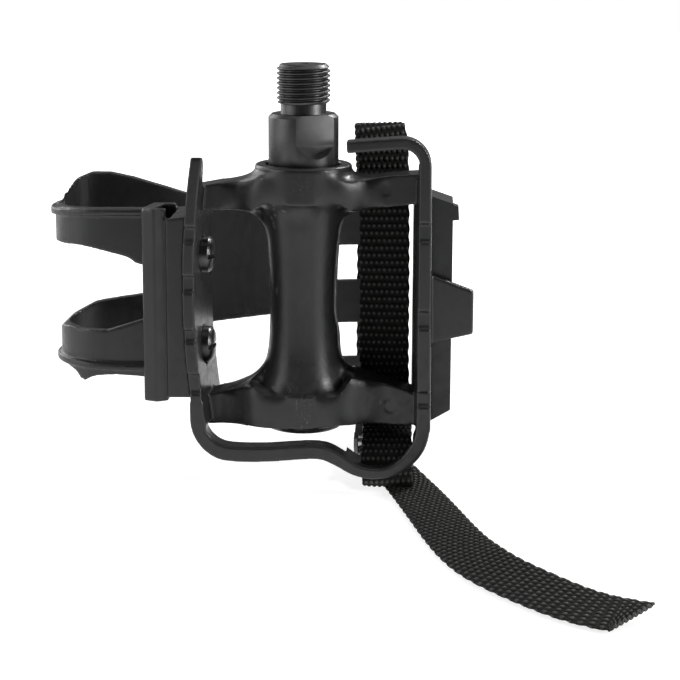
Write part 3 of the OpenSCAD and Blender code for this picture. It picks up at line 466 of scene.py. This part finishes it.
# How far the edge is pulled in between rows, how near the edge that starts, and how square the edge is
EDGE_PULL = 0.25 * MM
PULL_POWER = 8
EDGE_POWER = 5
# Share of the thickness that is left at the very edge
EDGE_LEFT = 0.3


def at_length(route, lengths, s):
    return np.array([np.interp(s, lengths, route[:, k]) for k in range(3)]).T


def band_line(route, sides, per_row):
    """Even steps along a route: lengths from its start, places, directions and sides."""
    lengths = np.concatenate([[0], np.cumsum(np.linalg.norm(np.diff(route, axis=0), axis=1))])
    rows = int(round(lengths[-1] / ROW * per_row))
    steps = np.linspace(0, lengths[-1], rows + 1)
    centre = at_length(route, lengths, steps)
    ahead = np.gradient(centre, steps, axis=0)
    ahead /= np.linalg.norm(ahead, axis=1)[:, None]
    side = at_length(sides, lengths, steps)
    side -= ahead * np.sum(side * ahead, axis=1)[:, None]
    side /= np.linalg.norm(side, axis=1)[:, None]
    return steps, centre, ahead, side


def band_faces(rows, across):
    """Both faces of a band of points, its two long edges and its two ends."""
    wide = across + 1
    back = (rows + 1) * wide
    faces = []
    for i in range(rows):
        for j in range(across):
            a, b, c, d = i * wide + j, i * wide + j + 1, (i + 1) * wide + j + 1, (i + 1) * wide + j
            faces.append((a, b, c, d))
            faces.append((back + a, back + d, back + c, back + b))
    long_edges = [(i * wide + j, (i + 1) * wide + j, j == across) for i in range(rows) for j in (0, across)]
    short_ends = [(i * wide + j, i * wide + j + 1, i == 0) for i in (0, rows) for j in range(across)]
    for a, b, flip in long_edges + short_ends:
        quad = (a, b, back + b, back + a)
        faces.append(quad[::-1] if flip else quad)
    return faces


def woven_band(name, route, sides, mat, per_row, per_yarn, end_cut=0.0):
    """A strap in plain weave along a route. Each row's beads lie half a yarn off the last row's."""
    steps, centre, ahead, side = band_line(route, sides, per_row)
    across = int(round(STRAP_W / YARN * per_yarn))
    half = STRAP_W / 2 + BEAD_REACH
    up = np.cross(ahead, side)
    run, off = np.meshgrid(steps, np.linspace(-half, half, across + 1), indexing="ij")
    row_no = np.floor(run / ROW + 1e-6)
    along = np.abs(np.sin(np.pi * run / ROW)) ** BEAD_ALONG
    edge = np.sqrt(np.clip(1 - (np.abs(off) / half) ** EDGE_POWER, 0, 1))
    full = EDGE_LEFT + (1 - EDGE_LEFT) * edge
    between = 0.5 + 0.5 * np.cos(np.pi * run / ROW)
    pull = EDGE_PULL * between * np.sign(off) * (np.abs(off) / half) ** PULL_POWER
    cut_from = np.clip((run - steps[-1] + 2 * end_cut) / (2 * end_cut + 1e-9), 0, 1)
    shift = -end_cut * cut_from * (1 - off / half)
    verts, beads = [], []
    for face, sign in ((0, 1), (1, -1)):
        aside = np.abs(np.cos(np.pi * (off / YARN + 0.5 * ((row_no + face) % 2)))) ** BEAD_ASIDE
        height = (STRAP_T / 2 - BEAD) * full + BEAD * aside * along * full
        grid = (centre[:, None, :] + side[:, None, :] * (off - pull)[..., None]
                + up[:, None, :] * (sign * height)[..., None] + ahead[:, None, :] * shift[..., None])
        verts.append(grid.reshape(-1, 3))
        beads.append((aside * along).ravel())
    band = mesh_object(name, np.vstack(verts), band_faces(len(steps) - 1, across), mat)
    tone = band.data.attributes.new("bead", "FLOAT", "POINT")
    tone.data.foreach_set("value", np.concatenate(beads))
    add_weave_map(band.data, np.stack([run.ravel(), off.ravel()], axis=1))
    return band


def add_weave_map(mesh, flat):
    """A map of the band laid flat, in metres, the same on both faces."""
    layer = mesh.uv_layers.new(name="weave")
    index = np.empty(len(mesh.loops), int)
    mesh.loops.foreach_get("vertex_index", index)
    layer.data.foreach_set("uv", np.vstack([flat, flat])[index].ravel())


# The tail's route, as in the part's source but for its last point, which the photo shows a little further
TAIL_ROUTE = [
    (21, 14.3, -96.9), (21.4, 12, -98.5), (24, 8.4, -101.1), (26.8, 2.4, -102.1), (29.2, -5.4, -102.1),
    (32.5, -18.5, -101.6), (35.8, -32, -101.2), (38.8, -44.2, -100.9), (41.9, -55.2, -100.6),
    (45.3, -64.4, -100.3), (48.9, -71.4, -100.2), (52.8, -76.8, -100.3), (56.8, -81.6, -100.4),
    (61, -86.3, -100.5), (65.8, -91, -100.6), (72, -95.2, -100.7), (81, -98.5, -100.9),
]
# How far the tail's edge tips up, by place in the route
TAIL_LEAN = ((3.5, 0), (9, 0.30), (12, 0.27), (16, 0.20))

# The strap's route, as in the part's source but for the fold at its low end, which the photo shows lower
STRAP_ROUTE = [
    (21.1, 9.5, -95.1), (21.8, 5, -96.8), (22.4, 0, -98.8), (22.8, -4, -101), (22.9, -6.9, -100.7),
    (22.7, -7.5, -96.9), (22.6, -6.6, -93.3), (22.5, -1, -89.4), (22.3, 6.4, -87.4), (22, 9, -83),
    (21.4, 9, -72), (21.3, 9, -50), (21.1, 9, -30), (20.7, 9, -14.6), (20.1, 9.5, -9.2),
    (19.6, 11.6, -7.1), (19.4, 15, -8), (19.1, 30, -17.6), (18.9, 46, -28.8), (18.8, 51.2, -33.6),
    (18.8, 51.8, -38.5), (18.8, 51.8, -60), (18.8, 51.8, -80), (18.8, 51.8, -87.9), (19, 49, -91),
    (19.6, 40, -91.8), (20.8, 31, -93.1), (21, 20, -95.1), (21, 14.3, -96.9),
]
CURVE_STEPS = 12
# Points to a row and to a yarn, on the tail and on the loop, and how far the tail's end is cut askew
TAIL_GRID = (8, 7)
LOOP_GRID = (6, 6)
END_CUT = 3.5 * MM


def make_tail(mat):
    route = smooth_curve(TAIL_ROUTE, CURVE_STEPS)
    ahead = np.gradient(route, axis=0)
    ahead /= np.linalg.norm(ahead, axis=1)[:, None]
    places, tips = zip(*TAIL_LEAN)
    lean = np.interp(np.arange(len(route)) / CURVE_STEPS, places, tips)
    sides = np.stack([-ahead[:, 1], ahead[:, 0], lean], axis=1)
    tail = woven_band("woven_tail", route, sides, mat, *TAIL_GRID, end_cut=END_CUT)
    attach(tail, "pedal")
    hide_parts("strap_tail")


def make_strap(mat):
    route = smooth_curve(STRAP_ROUTE, CURVE_STEPS)
    sides = np.tile([1.0, 0.0, 0.0], (len(route), 1))
    strap = woven_band("woven_strap", route, sides, mat, *LOOP_GRID)
    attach(strap, "pedal")
    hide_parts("strap")


# Spindle thread: its size, the share of a pitch that is flat at the root and the share that the flanks
# take, the chamfer at its tip and the lead-in at its foot
THREAD_R = (14.05 / 2) * MM
THREAD_PITCH = 1.27 * MM
THREAD_DEPTH = 0.72 * MM
ROOT_SHARE = 0.14
FLANK_SHARE = 0.66
CHAMFER = 1.0 * MM
LEAD_IN = 0.9 * MM
LEAD_SLOPE = 0.35
# Points round the thread and to a pitch
PER_TURN = 120
PER_PITCH = 14
# Rings on the thread's end face: where the face starts, and the centre drill's mouth and tip
FACE_R = 4.6 * MM
DRILL_R = 1.6 * MM
DRILL_TIP_R = 0.4 * MM
DRILL_DEPTH = 2.0 * MM
# The plain shaft is cut off just under the thread
SHAFT_CUT_Z = -0.00002


def thread_radius(z, angle, length):
    phase = (z / THREAD_PITCH - angle / (2 * math.pi)) % 1.0
    tooth = min(max((1 - abs(2 * phase - 1) - ROOT_SHARE) / FLANK_SHARE, 0), 1)
    r = THREAD_R - THREAD_DEPTH * (1 - tooth)
    return min(r, THREAD_R - max(0, z - (length - CHAMFER)), THREAD_R - LEAD_SLOPE * max(0, LEAD_IN - z))


def make_thread(length, mat):
    """The thread as a closed form, with a centre drill in its end."""
    rows = int(length / THREAD_PITCH * PER_PITCH)
    angles = [2 * math.pi * j / PER_TURN for j in range(PER_TURN)]
    rings = []
    for i in range(rows + 1):
        z = length * i / rows
        rings.append([(thread_radius(z, angle, length), z) for angle in angles])
    for r, z in ((FACE_R, length), (DRILL_R, length), (DRILL_TIP_R, length - DRILL_DEPTH)):
        rings.append([(r, z)] * PER_TURN)
    verts = [(r * math.cos(angle), r * math.sin(angle), z)
             for ring in rings for angle, (r, z) in zip(angles, ring)]
    faces = []
    for i in range(len(rings) - 1):
        start = i * PER_TURN
        for j in range(PER_TURN):
            k = (j + 1) % PER_TURN
            faces.append((start + j, start + k, start + PER_TURN + k, start + PER_TURN + j))
    last = (len(rings) - 1) * PER_TURN
    faces.append(tuple(last + j for j in range(PER_TURN)))
    faces.append(tuple(reversed(range(PER_TURN))))
    return mesh_object("thread", verts, faces, mat)


def cut_shaft(mat):
    """The spindle's solid without its plain thread, closed where it is cut."""
    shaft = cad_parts["spindle"].data.copy()
    work = bmesh.new()
    work.from_mesh(shaft)
    bmesh.ops.remove_doubles(work, verts=work.verts, dist=1e-6)
    bmesh.ops.bisect_plane(work, geom=work.verts[:] + work.edges[:] + work.faces[:], dist=1e-7,
                           plane_co=(0, 0, SHAFT_CUT_Z), plane_no=(0, 0, 1), clear_outer=True)
    bmesh.ops.holes_fill(work, edges=[e for e in work.edges if e.is_boundary])
    work.to_mesh(shaft)
    work.free()
    shaft.materials.clear()
    shaft.materials.append(mat)
    return add(bpy.data.objects.new("threaded_spindle", shaft))


def join_mesh(target, joined):
    """Adds a second object's mesh to the first and removes the second."""
    whole = bmesh.new()
    whole.from_mesh(target.data)
    whole.from_mesh(joined.data)
    whole.to_mesh(target.data)
    whole.free()
    bpy.data.objects.remove(joined)


def round_edges(obj, width, angle):
    soft = obj.modifiers.new("edges", "BEVEL")
    soft.width = width
    soft.segments = 2
    soft.limit_method = "ANGLE"
    soft.angle_limit = math.radians(angle)


def make_spindle(mat):
    thread = make_thread(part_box("spindle")[1][2], mat)
    spindle = cut_shaft(mat)
    round_edges(spindle, 0.18 * MM, 20)
    bake_modifiers(spindle)
    join_mesh(spindle, thread)
    spindle.data.polygons.foreach_set("use_smooth", [True] * len(spindle.data.polygons))
    spindle.data.set_sharp_from_angle(angle=math.radians(35))
    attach(spindle, "spindle")
    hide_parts("spindle")


def dress(mat, *names, bevel=None):
    """Gives CAD nodes a material, and rounds their edges a little."""
    for name in names:
        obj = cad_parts[name]
        obj.data.materials.clear()
        obj.data.materials.append(mat)
        if bevel:
            round_edges(obj, bevel, 30)


def ramp(value, start, length):
    return np.clip((value - start) / length, 0, 1)


# Where the arms' roots are, in millimetres: beside the barrel's front, off its bore, within the arms and
# between the barrel's ends
ROOT_X = 3.5
ROOT_NEAR, ROOT_FAR = 7.4, 22
ROOT_TOP_Z, ROOT_LOW_Z = -17.2, -85


def arm_roots(place):
    """Where the arms grow out of the barrel's sides: full beside the barrel, none on its front and ends."""
    reach = np.hypot(place[:, 0], place[:, 1])
    beside = ramp(np.abs(place[:, 0]), ROOT_X, 2.5)
    ends = ramp(-place[:, 2], -ROOT_TOP_Z, 1.5) * ramp(place[:, 2], ROOT_LOW_Z, 1.5)
    return beside * ends * ramp(reach, ROOT_NEAR, 0.8) * ramp(-reach, -ROOT_FAR, 4)


# The ridges up the barrel's waist, in millimetres but for their radius: their ends, their step, the slice
# of the barrel that they follow, and the reach in which the barrel's side is looked for
RIDGE_R = 0.26 * MM
RIDGE_LOW_Z, RIDGE_TOP_Z = -73.5, -28
RIDGE_STEP = 1.5
SLICE_Y, SLICE_Z = 0.6, 0.8
SIDE_NEAR, SIDE_FAR = 6, 17


def ridge_points(shell, side):
    """Places up one side of the barrel's waist, on its surface."""
    place = vertices(shell.data) / MM
    outward = side * place[:, 0]
    points = []
    for z in np.arange(RIDGE_LOW_Z, RIDGE_TOP_Z, RIDGE_STEP):
        near_by = (np.abs(place[:, 1]) < SLICE_Y) & (np.abs(place[:, 2] - z) < SLICE_Z)
        out = outward[near_by & (outward > SIDE_NEAR) & (outward < SIDE_FAR)]
        if len(out):
            points.append(((side * out.min()) * MM, 0, z * MM))
    return points


def round_wire(name, points, radius, mat):
    """A thin round mesh along a smooth line through points."""
    curve = bpy.data.curves.new("wire", "CURVE")
    curve.dimensions = "3D"
    curve.bevel_depth = radius
    curve.bevel_resolution = 2
    line = curve.splines.new("NURBS")
    line.points.add(len(points) - 1)
    for spot, point in zip(line.points, points):
        spot.co = (*point, 1)
    line.use_endpoint_u = True
    line.order_u = 4
    drawn = add(bpy.data.objects.new("wire", curve))
    mesh = bpy.data.meshes.new_from_object(drawn.evaluated_get(bpy.context.evaluated_depsgraph_get()))
    bpy.data.objects.remove(drawn)
    mesh.materials.clear()
    mesh.materials.append(mat)
    mesh.polygons.foreach_set("use_smooth", [True] * len(mesh.polygons))
    return add(bpy.data.objects.new(name, mesh))


def parting_line(shell, side, mat):
    """The mould's parting line: a thin ridge up one side of the barrel's waist."""
    name = "parting_line_left" if side < 0 else "parting_line_right"
    ridge = round_wire(name, ridge_points(shell, side), RIDGE_R, mat)
    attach(ridge, "pedal")


# Grid size, rounds of smoothing and most triangles of each moulding
BODY_MOULD = (0.34 * MM, 4, 190000)
CLIP_MOULD = (0.36 * MM, 4, 170000)
ROOT_ROUNDS = 260


def make_shells(cage, clip):
    body = moulded("body", "moulded_body", cage, *BODY_MOULD, arm_roots, ROOT_ROUNDS)
    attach(body, "pedal")
    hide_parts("body")
    for side in (-1, 1):
        parting_line(body, side, cage)
    shell = moulded("toe_clip", "moulded_toe_clip", clip, *CLIP_MOULD)
    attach(shell, "pedal")
    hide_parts("toe_clip")


make_camera()
web = webbing("black_webbing", (0.042, 0.041, 0.0355))
make_tail(web)
make_world()
make_floor()
make_lamps()

# Marks on the body, in millimetres: ejector discs on the upper arms, and scuffs on the barrel
ARM_FACE_Y = -4.4
EJECTOR_MARKS = (((-17.4, ARM_FACE_Y - 1.2, -24.5), 1.9), ((21.3, ARM_FACE_Y, -22), 1.9))
SCUFFS = (((0.3, -11.4, -78), 3, 0.8), ((0.8, -11.4, -83), 3, 0.8), ((0, -12.6, -20.5), 4, 0.3),
          ((-3, -10, -75), 3, 0.5))
cage = moulded_plastic("cage_plastic", (0.014, 0.0147, 0.0142), 0.36, edges=0.5, marks=EJECTOR_MARKS,
                       scuffs=SCUFFS)
clip = moulded_plastic("clip_plastic", (0.019, 0.0198, 0.0193), 0.39, 2000, edges=0.4)
small = moulded_plastic("small_plastic", (0.011, 0.0118, 0.0114), 0.38)
dark_steel = machined_steel("dark_steel", (0.084, 0.084, 0.0854), 0.4)
bright_steel = machined_steel("bright_steel", (0.5, 0.5, 0.52), 0.3)
chrome = machined_steel("ball_steel", (0.75, 0.75, 0.77), 0.1)
black_steel = machined_steel("black_steel", (0.09, 0.09, 0.092), 0.32)
rubber = moulded_plastic("seal_rubber", (0.02, 0.02, 0.02), 0.6)
lens = moulded_plastic("amber_lens", (0.85, 0.32, 0.03), 0.15, 400)

make_strap(web)
make_spindle(dark_steel)
make_shells(cage, clip)
dress(bright_steel, "bearing_cone", "tab_washer", "lock_nut", "inboard_cup", "outboard_cup")
dress(chrome, "inboard_balls", "outboard_balls")
dress(rubber, "inboard_seal")
dress(cage, "dust_cap", bevel=0.2 * MM)
dress(black_steel, "clip_screw_upper", "clip_screw_lower", "clip_washer_upper", "clip_washer_lower",
      "clip_nut_upper", "clip_nut_lower", bevel=0.2 * MM)
dress(small, "reflector_housing", bevel=0.3 * MM)
dress(lens, "reflector_lens", bevel=0.2 * MM)
dress(bright_steel, "reflector_screws", "buckle_roller", "buckle_lever_pin")
dress(black_steel, "buckle_frame", "buckle_lever", bevel=0.2 * MM)
